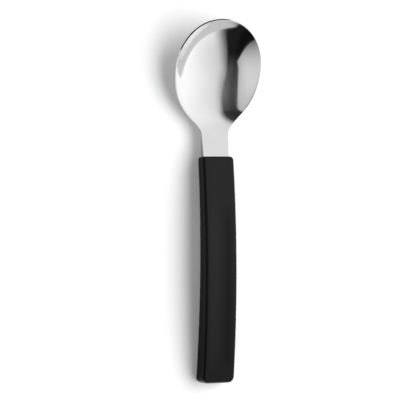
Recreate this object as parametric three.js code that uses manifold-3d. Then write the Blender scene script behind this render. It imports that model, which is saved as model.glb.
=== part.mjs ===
// Dessert spoon: a polished steel bowl, neck and tang in one piece, bonded into a moulded black handle.
// Millimetres, +Z up. The spoon lies on a table at z = 0 with its bowl towards +Y, as it is laid down in use.
// While it is being built, y = 0 is the rear end of the handle. The finished group is centred along Y.
import * as THREE from 'three';
import { mergeVertices } from 'three/addons/utils/BufferGeometryUtils.js';
import Module from 'manifold-3d';

// Handle: an arched bar with flat sides that grows thicker to the rear.
const HANDLE_LENGTH = 108.8;
const HANDLE_WIDTH = 16.3;
const HANDLE_FRONT_THICKNESS = 6.6;
const HANDLE_REAR_THICKNESS = 9.4;
const HANDLE_FRONT_HEIGHT = 7.2; // middle of the front face above the table
const HANDLE_ARCH = 3.6; // rise of the middle line above a straight line between its ends
const HANDLE_EDGE = 1.1; // rounding of the four long edges
const HANDLE_LEAST_EDGE = 0.3; // the long edges keep this much at the end faces
const HANDLE_FRONT_EDGE = 0.9; // rounding above and below the front face
const HANDLE_REAR_EDGE = 2; // rounding above and below the rear face
const HANDLE_FRONT_CORNER = 1.7; // rounding beside the front face, seen from above
const HANDLE_REAR_CORNER = 3; // rounding beside the rear face

// Thumb scoop: a shallow hollow along the top of the handle that fades out at both ends.
const SCOOP_DEPTH = 0.6;
const SCOOP_SIDE_MARGIN = 1.6; // flat strip left on each side
const SCOOP_FRONT_MARGIN = 18; // flat length in front of it
const SCOOP_FRONT_FADE = 16;
const SCOOP_REAR_MARGIN = 5;
const SCOOP_REAR_FADE = 8;

// Bowl and neck: the plan outline, then the side profile, then the sheet.
const BOWL_WIDTH = 45.1;
const BOWL_FRONT_LENGTH = 23.7; // widest place to the tip
const BOWL_REAR_LENGTH = 30.9; // widest place to where the outline has run into the neck
const BOWL_FRONT_FULLNESS = 0.57; // how far each end's direction carries the curve, as a share of its side
const BOWL_REAR_FULLNESS = 0.69;
const NECK_FLARE = 0.21;
const NECK_LENGTH = 10.6; // neck between the handle and the flare
const NECK_WIDTH = 14.2; // where the flare ends
const NECK_REAR_WIDTH = 13.4; // at the handle
const NECK_STEP = 0.2; // step from the tang up to the neck's upper side
const RIM_TILT = THREE.MathUtils.degToRad(15.5); // the rim climbs towards the tip
const BEND_SOFTNESS = 0.5; // how far the bend between neck and rim is rounded off
const BOWL_DEPTH = 8.65; // below the rim line, if the bowl were full at its widest place
const BOWL_FRONT_WALL = 0.35; // 0 is a paraboloid, more is a flatter floor with steeper walls
const BOWL_REAR_WALL = -0.14;
const WALL_CHANGE = 19.5; // the wall changes over this length before and behind the widest place
const BOWL_START = 2.4; // the hollow starts this far behind the end of the flare
const BOWL_RUN_IN = 14; // length over which it deepens
const LIP_RISE = 0.9; // the bowl's floor lies this much higher because its lip is less steep
const LIP_ROOM = 0.22; // share of the bowl's room over which the lip fades
const NECK_THICKNESS = 2.5; // at the handle
const BOWL_THICKNESS = 2;
const RIM_THICKNESS = 0.8;
const THINNING_LENGTH = 14; // the neck is rolled thinner over this length
const RIM_EDGE = 0.1; // rounding of the lower edges

// Tang, its two keying holes, and the adhesive that beds it in the handle.
const TANG_LENGTH = 52;
const TANG_WIDTH = 9;
const TANG_THICKNESS = 1.2;
const TANG_DROP = 0.35; // the tang enters this far under the handle's middle line, and meets it at its end
const TANG_ROOT = 6; // length that the tang runs on inside the neck
const KEY_HOLE_DIAMETER = 4;
const KEY_HOLE_COUNT = 2; // spaced evenly along the tang
const BOND_THICKNESS = 0.3;
const BOND_SETBACK = 2; // the adhesive ends this far inside the front face
const FIT_GAP = 0.3;

// Facets along each stretch of the surfaces.
const FRONT_STEPS = 16;
const REAR_STEPS = 16;
const NECK_STEPS = 3;
const TOP_STEPS = 10;
const UNDER_STEPS = 7;
const EDGE_STEPS = 3;
const HANDLE_STEPS = 22;
const CORNER_STEPS = 6;
const SCOOP_STEPS = 10;
const TANG_STEPS = 10;
const HOLE_STEPS = 20;

// Places along Y that follow from the sizes above.
const shoulderY = HANDLE_LENGTH + FIT_GAP;
const flareY = shoulderY + NECK_LENGTH;
const widestY = flareY + BOWL_REAR_LENGTH;
const tipY = widestY + BOWL_FRONT_LENGTH;
const tangEndY = HANDLE_LENGTH - TANG_LENGTH;
const bowlHalf = BOWL_WIDTH / 2;
const neckHalf = NECK_WIDTH / 2;
const neckTaper = (NECK_WIDTH - NECK_REAR_WIDTH) / 2 / NECK_LENGTH;
const rightAngle = Math.PI / 2;
const scoopHalf = HANDLE_WIDTH / 2 - SCOOP_SIDE_MARGIN;

// The lower edge's rounding takes at most this share of the rim's thickness.
const LARGEST_RIM_SHARE = 0.45;
const rimEdge = Math.min(RIM_EDGE, LARGEST_RIM_SHARE * RIM_THICKNESS);

const lerp = THREE.MathUtils.lerp;
const ramp = (value, start, length) => THREE.MathUtils.smoothstep(value, start, start + length);
const plan = (x, y) => new THREE.Vector2(x, y);
const wasm = await Module();
wasm.setup();

// Triangles between rows of points, each row joined to the next.
function skin(rows, closedRows) {
  const perRow = rows[0].length;
  const last = closedRows ? perRow : perRow - 1;
  const faces = [];
  for (let i = 0; i + 1 < rows.length; i += 1) {
    for (let j = 0; j < last; j += 1) {
      const a = i * perRow + j;
      const b = i * perRow + (j + 1) % perRow;
      faces.push([a, b, b + perRow], [a, b + perRow, a + perRow]);
    }
  }
  return { points: rows.flat(), faces };
}

// A fan of triangles from a middle point to each side of a row of points.
function cap(row, middle, closedRow) {
  const points = [...row, middle];
  const sides = closedRow ? row.length : row.length - 1;
  const faces = [];
  for (let j = 0; j < sides; j += 1) {
    faces.push([j, row.length, (j + 1) % row.length]);
  }
  return { points, faces };
}

function reversed({ points, faces }) {
  return { points, faces: faces.map(([a, b, c]) => [a, c, b]) };
}

function mirrored({ points, faces }) {
  const turned = points.map((p) => new THREE.Vector3(-p.x, p.y, p.z));
  return reversed({ points: turned, faces });
}

// One closed solid from several skins that share their borders.
function solidFromSkins(skins) {
  const corners = skins.flatMap(({ points, faces }) => faces.flat().map((index) => points[index]));
  const loose = new THREE.BufferGeometry().setFromPoints(corners);
  return solidFromGeometry(loose);
}

// Points closer than this are one point, and triangles that shrink to nothing are left out.
const WELD_DISTANCE = 1e-4;

function solidFromGeometry(geometry) {
  geometry.deleteAttribute('normal');
  geometry.deleteAttribute('uv');
  const merged = mergeVertices(geometry, WELD_DISTANCE);
  const index = merged.index.array;
  const triangles = [];
  for (let i = 0; i < index.length; i += 3) {
    const [a, b, c] = index.subarray(i, i + 3);
    if (a !== b && b !== c && c !== a) {
      triangles.push(a, b, c);
    }
  }
  const vertProperties = new Float32Array(merged.attributes.position.array);
  const triVerts = new Uint32Array(triangles);
  return new wasm.Manifold(new wasm.Mesh({ numProp: 3, vertProperties, triVerts }));
}

function namedMesh(name, solid, color, roughness, metalness) {
  const { vertProperties, triVerts } = solid.getMesh();
  const geometry = new THREE.BufferGeometry();
  geometry.setAttribute('position', new THREE.BufferAttribute(vertProperties, 3));
  geometry.setIndex(new THREE.BufferAttribute(triVerts, 1));
  geometry.computeVertexNormals();
  const mesh = new THREE.Mesh(geometry, new THREE.MeshStandardMaterial({ color, roughness, metalness }));
  mesh.name = name;
  return mesh;
}

// Handle profile. Its middle line is a straight line plus an arch, a parabola that rises by 1 at its middle.
const ARCH_START_SLOPE = 4;
const arch = (share) => ARCH_START_SLOPE * share * (1 - share);

// The rounding of the rear face lifts the underside, so the middle line starts lower by that much.
const archRise = ARCH_START_SLOPE * HANDLE_ARCH;
const underRise = (HANDLE_FRONT_HEIGHT - HANDLE_REAR_THICKNESS / 2 + archRise) / HANDLE_LENGTH;
const underTaper = (HANDLE_REAR_THICKNESS - HANDLE_FRONT_THICKNESS) / 2 / HANDLE_LENGTH;
const underSlope = underRise + underTaper;
const rearLift = HANDLE_REAR_EDGE * (1 + underSlope - Math.hypot(1, underSlope));
const handleRearHeight = HANDLE_REAR_THICKNESS / 2 - rearLift;

function handleMiddle(y) {
  const share = y / HANDLE_LENGTH;
  const straight = lerp(handleRearHeight, HANDLE_FRONT_HEIGHT, share);
  return straight + HANDLE_ARCH * arch(share);
}

function handleThickness(y) {
  return lerp(HANDLE_REAR_THICKNESS, HANDLE_FRONT_THICKNESS, y / HANDLE_LENGTH);
}

function scoopDepth(x, y) {
  const across = Math.max(0, 1 - (x / scoopHalf) ** 2);
  const fromFront = ramp(HANDLE_LENGTH - y, SCOOP_FRONT_MARGIN, SCOOP_FRONT_FADE);
  const fromRear = ramp(y, SCOOP_REAR_MARGIN, SCOOP_REAR_FADE);
  return SCOOP_DEPTH * across ** 2 * fromFront * fromRear;
}

// How far a quarter circle draws a side in, at a distance from the end face.
function drawnIn(distance, radius) {
  const back = Math.max(0, radius - distance);
  return radius - Math.sqrt(radius * radius - back * back);
}

// One cross-section of the handle, a rounded rectangle, counter-clockwise seen from +Y.
function handleSection(y) {
  const ahead = HANDLE_LENGTH - y;
  const narrower = drawnIn(y, HANDLE_REAR_CORNER) + drawnIn(ahead, HANDLE_FRONT_CORNER);
  const thinner = drawnIn(y, HANDLE_REAR_EDGE) + drawnIn(ahead, HANDLE_FRONT_EDGE);
  const halfWide = HANDLE_WIDTH / 2 - narrower;
  const halfThick = handleThickness(y) / 2 - thinner;
  const radius = Math.max(HANDLE_EDGE - thinner, HANDLE_LEAST_EDGE);
  const middle = handleMiddle(y);
  const row = [];
  const corner = (signX, signZ, fromAngle) => {
    for (let k = 0; k <= EDGE_STEPS; k += 1) {
      const angle = fromAngle + rightAngle * k / EDGE_STEPS;
      const x = signX * (halfWide - radius) + radius * Math.cos(angle);
      const z = signZ * (halfThick - radius) + radius * Math.sin(angle);
      row.push(new THREE.Vector3(-x, y, middle + z));
    }
  };
  corner(1, 1, 0);
  for (let k = 1; k < SCOOP_STEPS; k += 1) {
    const x = lerp(halfWide - radius, radius - halfWide, k / SCOOP_STEPS);
    row.push(new THREE.Vector3(-x, y, middle + halfThick - scoopDepth(x, y)));
  }
  corner(-1, 1, rightAngle);
  corner(-1, -1, 2 * rightAngle);
  corner(1, -1, 3 * rightAngle);
  return row;
}

function handleBody() {
  const rows = [];
  const rearReach = Math.max(HANDLE_REAR_EDGE, HANDLE_REAR_CORNER);
  const frontReach = Math.max(HANDLE_FRONT_EDGE, HANDLE_FRONT_CORNER);
  for (let k = 0; k < CORNER_STEPS; k += 1) {
    rows.push(handleSection(rearReach * (1 - Math.cos(rightAngle * k / CORNER_STEPS))));
  }
  for (let k = 0; k <= HANDLE_STEPS; k += 1) {
    rows.push(handleSection(lerp(rearReach, HANDLE_LENGTH - frontReach, k / HANDLE_STEPS)));
  }
  for (let k = CORNER_STEPS - 1; k >= 0; k -= 1) {
    rows.push(handleSection(HANDLE_LENGTH - frontReach * (1 - Math.cos(rightAngle * k / CORNER_STEPS))));
  }
  const rear = cap(rows[0], new THREE.Vector3(0, 0, handleMiddle(0)), true);
  const front = cap(rows.at(-1), new THREE.Vector3(0, HANDLE_LENGTH, handleMiddle(HANDLE_LENGTH)), true);
  return solidFromSkins([skin(rows, true), rear, reversed(front)]);
}

// Tang: a flat bar that follows the handle's arch. It leaves the handle in a straight line as the neck.
function tangMiddle(y) {
  const inside = Math.min(y, HANDLE_LENGTH);
  return handleMiddle(inside) - TANG_DROP * (inside - tangEndY) / TANG_LENGTH;
}

const SLOPE_STEP = 0.01;
const neckSlope = (tangMiddle(HANDLE_LENGTH) - tangMiddle(HANDLE_LENGTH - SLOPE_STEP)) / SLOPE_STEP;

function bladeMiddle(y) {
  return tangMiddle(y) + neckSlope * Math.max(0, y - HANDLE_LENGTH);
}

// A bar of the tang's section grown by margin on every side, between two places along Y.
function tangBar(margin, fromY, toY) {
  const halfWide = TANG_WIDTH / 2 + margin;
  const halfThick = TANG_THICKNESS / 2 + margin;
  const rows = [];
  for (let k = 0; k <= TANG_STEPS; k += 1) {
    const y = lerp(fromY, toY, k / TANG_STEPS);
    const low = bladeMiddle(y) - halfThick;
    const high = bladeMiddle(y) + halfThick;
    rows.push([
      new THREE.Vector3(halfWide, y, low),
      new THREE.Vector3(-halfWide, y, low),
      new THREE.Vector3(-halfWide, y, high),
      new THREE.Vector3(halfWide, y, high),
    ]);
  }
  const rear = cap(rows[0], new THREE.Vector3(0, fromY, bladeMiddle(fromY)), true);
  const front = cap(rows.at(-1), new THREE.Vector3(0, toY, bladeMiddle(toY)), true);
  return solidFromSkins([skin(rows, true), rear, reversed(front)]);
}

// Upright round bars where the tang has its keying holes.
function keyBars(diameter, height) {
  const bars = [];
  for (let k = 1; k <= KEY_HOLE_COUNT; k += 1) {
    const y = HANDLE_LENGTH - TANG_LENGTH * k / (KEY_HOLE_COUNT + 1);
    const bar = new THREE.CylinderGeometry(diameter / 2, diameter / 2, height, HOLE_STEPS);
    bar.rotateX(rightAngle);
    bar.translate(0, y, bladeMiddle(y));
    bars.push(solidFromGeometry(bar));
  }
  return bars;
}

// Plan outline of the right half: tip to widest place, then in an S to the neck.
const frontCurve = new THREE.CubicBezierCurve(
  plan(0, tipY),
  plan(bowlHalf * BOWL_FRONT_FULLNESS, tipY),
  plan(bowlHalf, widestY + BOWL_FRONT_LENGTH * BOWL_FRONT_FULLNESS),
  plan(bowlHalf, widestY),
);
const flarePull = BOWL_REAR_LENGTH * NECK_FLARE;
const rearCurve = new THREE.CubicBezierCurve(
  plan(bowlHalf, widestY),
  plan(bowlHalf, widestY - BOWL_REAR_LENGTH * BOWL_REAR_FULLNESS),
  plan(neckHalf + neckTaper * flarePull, flareY + flarePull),
  plan(neckHalf, flareY),
);

// Half width of the outline at a place along Y, found by halving the stretch of curve that holds it.
const HALVINGS = 40;

function halfWidth(y) {
  if (y <= flareY) {
    return neckHalf - neckTaper * (flareY - y);
  }
  const curve = y > widestY ? frontCurve : rearCurve;
  let above = 0;
  let below = 1;
  for (let k = 0; k < HALVINGS; k += 1) {
    const middle = (above + below) / 2;
    if (curve.getPoint(middle).y > y) {
      above = middle;
    } else {
      below = middle;
    }
  }
  return curve.getPoint(above).x;
}

// Share of full depth that the plan allows at a point: 1 at the middle of the widest place, 0 on the rim.
function roominess(x, y) {
  const half = halfWidth(y);
  return (half * half - x * x) / (bowlHalf * bowlHalf);
}

const hollowing = (y) => ramp(y, flareY - BOWL_START, BOWL_RUN_IN);

function bowlDepth(x, y) {
  const room = roominess(x, y);
  const wall = lerp(BOWL_REAR_WALL, BOWL_FRONT_WALL, ramp(y, widestY - WALL_CHANGE, 2 * WALL_CHANGE));
  const lip = LIP_RISE * ramp(y, flareY, BOWL_REAR_LENGTH) * (1 - Math.exp(-room / LIP_ROOM));
  return hollowing(y) * (BOWL_DEPTH * room * (1 + wall - wall * room) - lip);
}

// Side profile: the neck's line and the rim's line, joined by a soft bend. The rim's height comes below.
let rimHeight = BOWL_DEPTH + BOWL_THICKNESS;

function edgeHeight(y) {
  const neck = bladeMiddle(y) + TANG_THICKNESS / 2 + NECK_STEP;
  const rim = rimHeight + Math.tan(RIM_TILT) * (y - widestY);
  return (neck + rim) / 2 + Math.hypot((neck - rim) / 2, BEND_SOFTNESS);
}

const upperSide = (x, y) => edgeHeight(y) - bowlDepth(x, y);

function thickness(x, y) {
  const along = lerp(NECK_THICKNESS, BOWL_THICKNESS, ramp(y, shoulderY, widestY - shoulderY));
  const rolled = ramp(y, shoulderY, THINNING_LENGTH) * (1 - roominess(x, y)) ** 2;
  return lerp(along, RIM_THICKNESS, rolled);
}

// The lower side lies one thickness under the upper side, measured square to it.
function lowerSide(x, y) {
  const inY = Math.min(y, tipY - SLOPE_STEP);
  const slopeX = (upperSide(x + SLOPE_STEP, inY) - upperSide(x - SLOPE_STEP, inY)) / (2 * SLOPE_STEP);
  const slopeY = (upperSide(x, inY + SLOPE_STEP) - upperSide(x, inY - SLOPE_STEP)) / (2 * SLOPE_STEP);
  return upperSide(x, y) - thickness(x, y) * Math.hypot(1, slopeX, slopeY);
}

// The rim is raised until the underside of the bowl just touches the table.
const SETTLING_ROUNDS = 6;
const SETTLING_PLACES = 200;
for (let round = 0; round < SETTLING_ROUNDS; round += 1) {
  let lowest = Infinity;
  for (let k = 0; k < SETTLING_PLACES; k += 1) {
    lowest = Math.min(lowest, lowerSide(0, lerp(flareY, tipY, k / SETTLING_PLACES)));
  }
  rimHeight -= lowest;
}

// Plan width of an edge cut square to the sheet, where the sheet has this slope and upright thickness.
function cutWidth(outer, outward, upright) {
  const inside = outer.clone().addScaledVector(outward, -SLOPE_STEP);
  const slope = (upperSide(outer.x, outer.y) - upperSide(inside.x, inside.y)) / SLOPE_STEP;
  return Math.max(rimEdge, upright * slope / (1 + slope * slope));
}

// One section of the blade, from the middle of its upper side, round the edge, to the middle underneath.
function bladeSection(outer, outward, inner) {
  const upright = upperSide(outer.x, outer.y) - lowerSide(outer.x, outer.y);
  const edgeWidth = cutWidth(outer, outward, upright);
  const at = (inset) => outer.clone().addScaledVector(outward, -inset);
  const row = [];
  for (let k = 0; k < TOP_STEPS; k += 1) {
    const p = inner.clone().lerp(at(edgeWidth), k / TOP_STEPS);
    row.push(new THREE.Vector3(p.x, p.y, upperSide(p.x, p.y)));
  }
  for (let k = 0; k <= EDGE_STEPS; k += 1) {
    const share = Math.sin(rightAngle * k / EDGE_STEPS);
    const p = at(edgeWidth * (1 - share));
    row.push(new THREE.Vector3(p.x, p.y, upperSide(p.x, p.y) - (upright - rimEdge) * share));
  }
  for (let k = EDGE_STEPS; k >= 0; k -= 1) {
    const angle = rightAngle * k / EDGE_STEPS;
    const p = at(rimEdge * (1 - Math.sin(angle)));
    row.push(new THREE.Vector3(p.x, p.y, lowerSide(p.x, p.y) + rimEdge * (1 - Math.cos(angle))));
  }
  for (let k = UNDER_STEPS - 1; k >= 0; k -= 1) {
    const p = inner.clone().lerp(at(rimEdge), k / UNDER_STEPS);
    row.push(new THREE.Vector3(p.x, p.y, lowerSide(p.x, p.y)));
  }
  return row;
}

// Bowl and neck: sections fan out from the bowl's middle in front, and lie square to the spoon behind it.
function bowlAndNeck() {
  const rows = [];
  const section = (curve, share, inner) => {
    const tangent = curve.getTangent(share);
    const outer = curve.getPoint(share);
    rows.push(bladeSection(outer, plan(-tangent.y, tangent.x), inner ?? plan(0, outer.y)));
  };
  for (let k = 0; k < FRONT_STEPS; k += 1) {
    section(frontCurve, k / FRONT_STEPS, plan(0, widestY));
  }
  for (let k = 0; k < REAR_STEPS; k += 1) {
    section(rearCurve, k / REAR_STEPS);
  }
  for (let k = 0; k <= NECK_STEPS; k += 1) {
    const y = lerp(flareY, shoulderY, k / NECK_STEPS);
    rows.push(bladeSection(plan(halfWidth(y), y), plan(1, 0), plan(0, y)));
  }
  const middle = new THREE.Vector3(0, shoulderY, bladeMiddle(shoulderY));
  const shoulder = cap(rows.at(-1), middle, false);
  const half = [reversed(skin(rows, false)), shoulder];
  return solidFromSkins([...half, ...half.map(mirrored)]);
}

// The holes are cut long enough to pass through a sloping tang.
const holeReach = TANG_THICKNESS + KEY_HOLE_DIAMETER;
const bondMargin = FIT_GAP + BOND_THICKNESS;
const pocketMargin = bondMargin + FIT_GAP;
const bondFrontY = HANDLE_LENGTH - BOND_SETBACK;

function spoonBlade() {
  const tang = tangBar(0, tangEndY, shoulderY + TANG_ROOT);
  const whole = bowlAndNeck().add(tang);
  return keyBars(KEY_HOLE_DIAMETER, holeReach).reduce((solid, hole) => solid.subtract(hole), whole);
}

function tangBond() {
  const sleeve = tangBar(bondMargin, tangEndY - bondMargin, bondFrontY);
  const room = tangBar(FIT_GAP, tangEndY - FIT_GAP, bondFrontY + FIT_GAP);
  const plugs = keyBars(KEY_HOLE_DIAMETER - 2 * FIT_GAP, TANG_THICKNESS + 2 * FIT_GAP + BOND_THICKNESS);
  return plugs.reduce((solid, plug) => solid.add(plug), sleeve.subtract(room));
}

// The pocket has room for the adhesive. Its mouth fits the tang alone, so the neck hides it.
function handle() {
  const pocket = tangBar(pocketMargin, tangEndY - pocketMargin, bondFrontY + FIT_GAP);
  const mouth = tangBar(FIT_GAP, bondFrontY, HANDLE_LENGTH + FIT_GAP);
  return handleBody().subtract(pocket).subtract(mouth);
}

const spoon = new THREE.Group();
spoon.add(namedMesh('spoon_blade', spoonBlade(), 0xd9d9dc, 0.12, 1.0));
spoon.add(namedMesh('handle', handle(), 0x232326, 0.5, 0.0));
spoon.add(namedMesh('tang_bond', tangBond(), 0xb8ab90, 0.6, 0.0));
spoon.position.y = -tipY / 2;

export default spoon;
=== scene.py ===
# %% [markdown]
# # A dessert spoon in polished steel and black plastic
#
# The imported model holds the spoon's real sizes as plain faceted solids: a steel blade, a moulded handle
# and the adhesive between them. This lesson keeps those sizes and gives the spoon its looks. A mirror shows
# every facet, so the blade and the handle are worked out again as smooth surfaces, from the same formulas.

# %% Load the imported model
import math

import bpy
import numpy as np
from mathutils import Matrix, Vector


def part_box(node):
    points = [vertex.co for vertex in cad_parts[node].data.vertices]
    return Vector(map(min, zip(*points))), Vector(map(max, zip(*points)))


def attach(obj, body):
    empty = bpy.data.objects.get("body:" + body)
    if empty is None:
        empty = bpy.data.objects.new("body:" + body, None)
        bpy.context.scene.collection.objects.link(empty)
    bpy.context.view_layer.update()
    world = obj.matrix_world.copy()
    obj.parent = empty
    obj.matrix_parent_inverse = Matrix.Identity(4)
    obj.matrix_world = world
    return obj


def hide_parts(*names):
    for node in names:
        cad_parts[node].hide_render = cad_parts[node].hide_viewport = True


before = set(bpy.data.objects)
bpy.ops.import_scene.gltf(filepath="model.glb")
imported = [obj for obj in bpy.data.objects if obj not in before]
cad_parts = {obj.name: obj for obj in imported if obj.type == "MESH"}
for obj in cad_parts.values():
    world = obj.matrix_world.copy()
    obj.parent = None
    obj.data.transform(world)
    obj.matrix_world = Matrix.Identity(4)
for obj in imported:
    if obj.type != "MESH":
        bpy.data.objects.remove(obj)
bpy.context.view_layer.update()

# %% [markdown]
# ## From millimetres to the frame
#
# A maker thinks in millimetres from one end of the spoon, so the shapes below do too: y = 0 is the rear end
# of the handle and z = 0 is the table. One function then moves finished points into the frame, in metres.
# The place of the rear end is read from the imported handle, so the pieces follow the frame.

# %% Units and place
METRES_PER_MM = 0.001
rear_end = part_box("handle")[0].y


def into_frame(points):
    """Millimetres to metres, then a shift along Y that puts y = 0 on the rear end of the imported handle."""
    return points * METRES_PER_MM + np.array([0.0, rear_end, 0.0])


def ramp(value, start, length):
    """0 before start, 1 after start + length, and the cubic 3t^2 - 2t^3 of the share t in between."""
    share = np.clip((value - start) / length, 0.0, 1.0)
    return share * share * (3.0 - 2.0 * share)


def mix(a, b, share):
    """A straight line from a to b as share goes from 0 to 1."""
    return a + (b - a) * share


print("the handle's rear end lies at y =", round(rear_end, 4), "m")

# %% [markdown]
# ## From a grid of points to faces
#
# Every surface here is a grid: rows of points along the spoon, columns of points round it. Neighbouring
# points make a face with four corners. Where a row shrinks to one point, at a pole or on the middle line,
# points coincide. Blender's Merge by Distance could join them. Here it is done on the arrays, which keeps
# every point's number known: faces that lose a corner become triangles, and the mesh is closed.

# %% Faces of a grid
WELD_MM = 1e-5


def grid_faces(rows, columns, closed):
    """Corner numbers of the faces of a grid. If closed, the last column is joined to the first."""
    row = np.arange(rows - 1)[:, None]
    column = np.arange(columns if closed else columns - 1)[None, :]
    after = (column + 1) % columns
    here, ahead = row * columns, (row + 1) * columns
    corners = [here + column, here + after, ahead + after, ahead + column]
    return np.stack(corners, axis=-1).reshape(-1, 4)


def weld(points, faces):
    """Joins points that coincide, and turns faces that lose one corner into triangles. Gives the numbers of
    the points that are kept, and the faces between them."""
    keys = np.round(points / WELD_MM).astype(np.int64)
    _, kept, number = np.unique(keys, axis=0, return_index=True, return_inverse=True)
    faces = number.reshape(-1)[faces]
    same = faces == np.roll(faces, -1, axis=1)
    lost = same.sum(axis=1)
    welded = faces[lost == 0].tolist()
    for corner in range(faces.shape[1]):
        thin = faces[(lost == 1) & same[:, corner]]
        welded += np.delete(thin, corner, axis=1).tolist()
    return kept, welded


print("a closed grid of 3 by 4 points has", len(grid_faces(3, 4, closed=True)), "faces")

# %% [markdown]
# ## From faces to a piece
#
# A piece is an object at the origin, with its place in its mesh. It is shaded smooth, and only edges sharper
# than 35 degrees are marked as sharp, as Shade Auto Smooth does. A finish sometimes needs to know which part
# of a piece it covers, so a piece can carry a number for every point, as an attribute.

# %% Piece maker
SHARP_ANGLE = math.radians(35.0)


def mesh_piece(name, points, faces, **marks):
    """A smooth piece in the frame, from points in millimetres and faces of four corners. Each mark holds a
    number for every point, and is kept as an attribute."""
    kept, faces = weld(points, faces)
    mesh = bpy.data.meshes.new(name)
    mesh.from_pydata(into_frame(points[kept]).tolist(), [], faces)
    for mark, numbers in marks.items():
        mesh.attributes.new(mark, "FLOAT", "POINT").data.foreach_set("value", numbers[kept])
    mesh.shade_smooth()
    mesh.set_sharp_from_angle(angle=SHARP_ANGLE)
    piece = bpy.data.objects.new(name, mesh)
    bpy.context.scene.collection.objects.link(piece)
    triangles = sum(len(face) - 2 for face in faces)
    print(name, "has", len(kept), "points and", triangles, "triangles")
    return piece


print("edges over", round(math.degrees(SHARP_ANGLE)), "degrees are kept sharp")

# %% [markdown]
# ## The handle's middle line
#
# Seen from the side the handle is a bow: a straight line between its two ends plus a parabola that lifts
# its middle. Its thickness grows in a straight line to the rear. The tang inside follows the same bow and
# leaves the handle in a straight line as the neck, so this line comes first and everything hangs on it.
# The rounding under the rear end lifts the lowest point, so the line starts lower by that much.

# %% Handle line and thickness
HANDLE_LENGTH = 108.8
HANDLE_FRONT_THICKNESS, HANDLE_REAR_THICKNESS = 6.6, 9.4
HANDLE_FRONT_HEIGHT, HANDLE_ARCH = 7.2, 3.6
HANDLE_REAR_EDGE = 2.0
ARCH_START_SLOPE = 4.0

start_rise = HANDLE_FRONT_HEIGHT - HANDLE_REAR_THICKNESS / 2 + ARCH_START_SLOPE * HANDLE_ARCH
start_taper = (HANDLE_REAR_THICKNESS - HANDLE_FRONT_THICKNESS) / 2
under_slope = (start_rise + start_taper) / HANDLE_LENGTH
rear_lift = HANDLE_REAR_EDGE * (1 + under_slope - math.hypot(1, under_slope))
handle_rear_height = HANDLE_REAR_THICKNESS / 2 - rear_lift


def handle_middle(y):
    """Height of the middle line: straight between the ends, plus an arch that is a parabola."""
    share = y / HANDLE_LENGTH
    arch = ARCH_START_SLOPE * share * (1 - share)
    return mix(handle_rear_height, HANDLE_FRONT_HEIGHT, share) + HANDLE_ARCH * arch


def handle_thickness(y):
    """A straight taper from the rear to the front."""
    return mix(HANDLE_REAR_THICKNESS, HANDLE_FRONT_THICKNESS, y / HANDLE_LENGTH)


print("the handle's middle is", round(float(handle_middle(HANDLE_LENGTH / 2)), 2), "mm above the table")

# %% [markdown]
# ## The tang and the neck's line
#
# The blade is one pressed piece of steel. Its tang is a flat bar hidden in the handle, a little below the
# handle's middle line at the front. The neck goes on from it with the same slope.

# %% Tang line
TANG_LENGTH, TANG_DROP = 52.0, 0.35
SLOPE_STEP = 0.01
tang_end = HANDLE_LENGTH - TANG_LENGTH


def tang_middle(y):
    """The handle's middle line, less a drop that grows from 0 at the tang's end to its most in front."""
    inside = np.minimum(y, HANDLE_LENGTH)
    return handle_middle(inside) - TANG_DROP * (inside - tang_end) / TANG_LENGTH


neck_slope = (tang_middle(HANDLE_LENGTH) - tang_middle(HANDLE_LENGTH - SLOPE_STEP)) / SLOPE_STEP


def blade_middle(y):
    """The tang's line, carried on in front of the handle as a straight line with the same slope."""
    return tang_middle(y) + neck_slope * np.maximum(0.0, y - HANDLE_LENGTH)


print("the neck slopes by", round(math.degrees(math.atan(neck_slope)), 1), "degrees")

# %% [markdown]
# ## The blade's outline
#
# From above the bowl is an egg with its broad end in front, and an S-curve leads from its widest place into
# the neck, which narrows a little to the handle. Two cubic curves draw one half, as a curve object would in
# Blender. They run square to the spoon at the tip, along it at the widest place and along the neck's side,
# so the joins have no corner. As formulas they also give the outline's direction everywhere.

# %% Outline
BOWL_WIDTH, NECK_WIDTH, NECK_REAR_WIDTH = 45.1, 14.2, 13.4
FIT_GAP, NECK_LENGTH = 0.3, 10.6
BOWL_REAR_LENGTH, BOWL_FRONT_LENGTH = 30.9, 23.7
FRONT_FULLNESS, REAR_FULLNESS, NECK_FLARE = 0.57, 0.69, 0.21

bowl_half, neck_half = BOWL_WIDTH / 2, NECK_WIDTH / 2
neck_taper = (NECK_WIDTH - NECK_REAR_WIDTH) / 2 / NECK_LENGTH
shoulder = HANDLE_LENGTH + FIT_GAP
flare = shoulder + NECK_LENGTH
widest = flare + BOWL_REAR_LENGTH
tip = widest + BOWL_FRONT_LENGTH

FRONT_CURVE = np.array([
    [0.0, tip],
    [bowl_half * FRONT_FULLNESS, tip],
    [bowl_half, widest + BOWL_FRONT_LENGTH * FRONT_FULLNESS],
    [bowl_half, widest],
])
REAR_CURVE = np.array([
    [bowl_half, widest],
    [bowl_half, widest - BOWL_REAR_LENGTH * REAR_FULLNESS],
    [neck_half + neck_taper * BOWL_REAR_LENGTH * NECK_FLARE, flare + BOWL_REAR_LENGTH * NECK_FLARE],
    [neck_half, flare],
])
print("the blade runs from y =", round(shoulder, 1), "to the tip at", round(tip, 1), "mm")

# %% [markdown]
# ## Reading the outline
#
# The surfaces need three things of the outline: its points, the directions that lead straight out of it, and
# its half width at any place along the spoon. The first two follow from the curve's formula. The half width
# has none, so the place on the curve is found by halving its range again and again.

# %% Outline functions
HALVINGS = 40


def curve_points(curve, share):
    """Points of a cubic curve: its four control points with the weights (1 - t)^3, 3 (1 - t)^2 t,
    3 (1 - t) t^2 and t^3, where t is the share of the curve."""
    rest = 1 - share
    weights = np.stack([rest**3, 3 * rest**2 * share, 3 * rest * share**2, share**3], axis=-1)
    return weights @ curve


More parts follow.
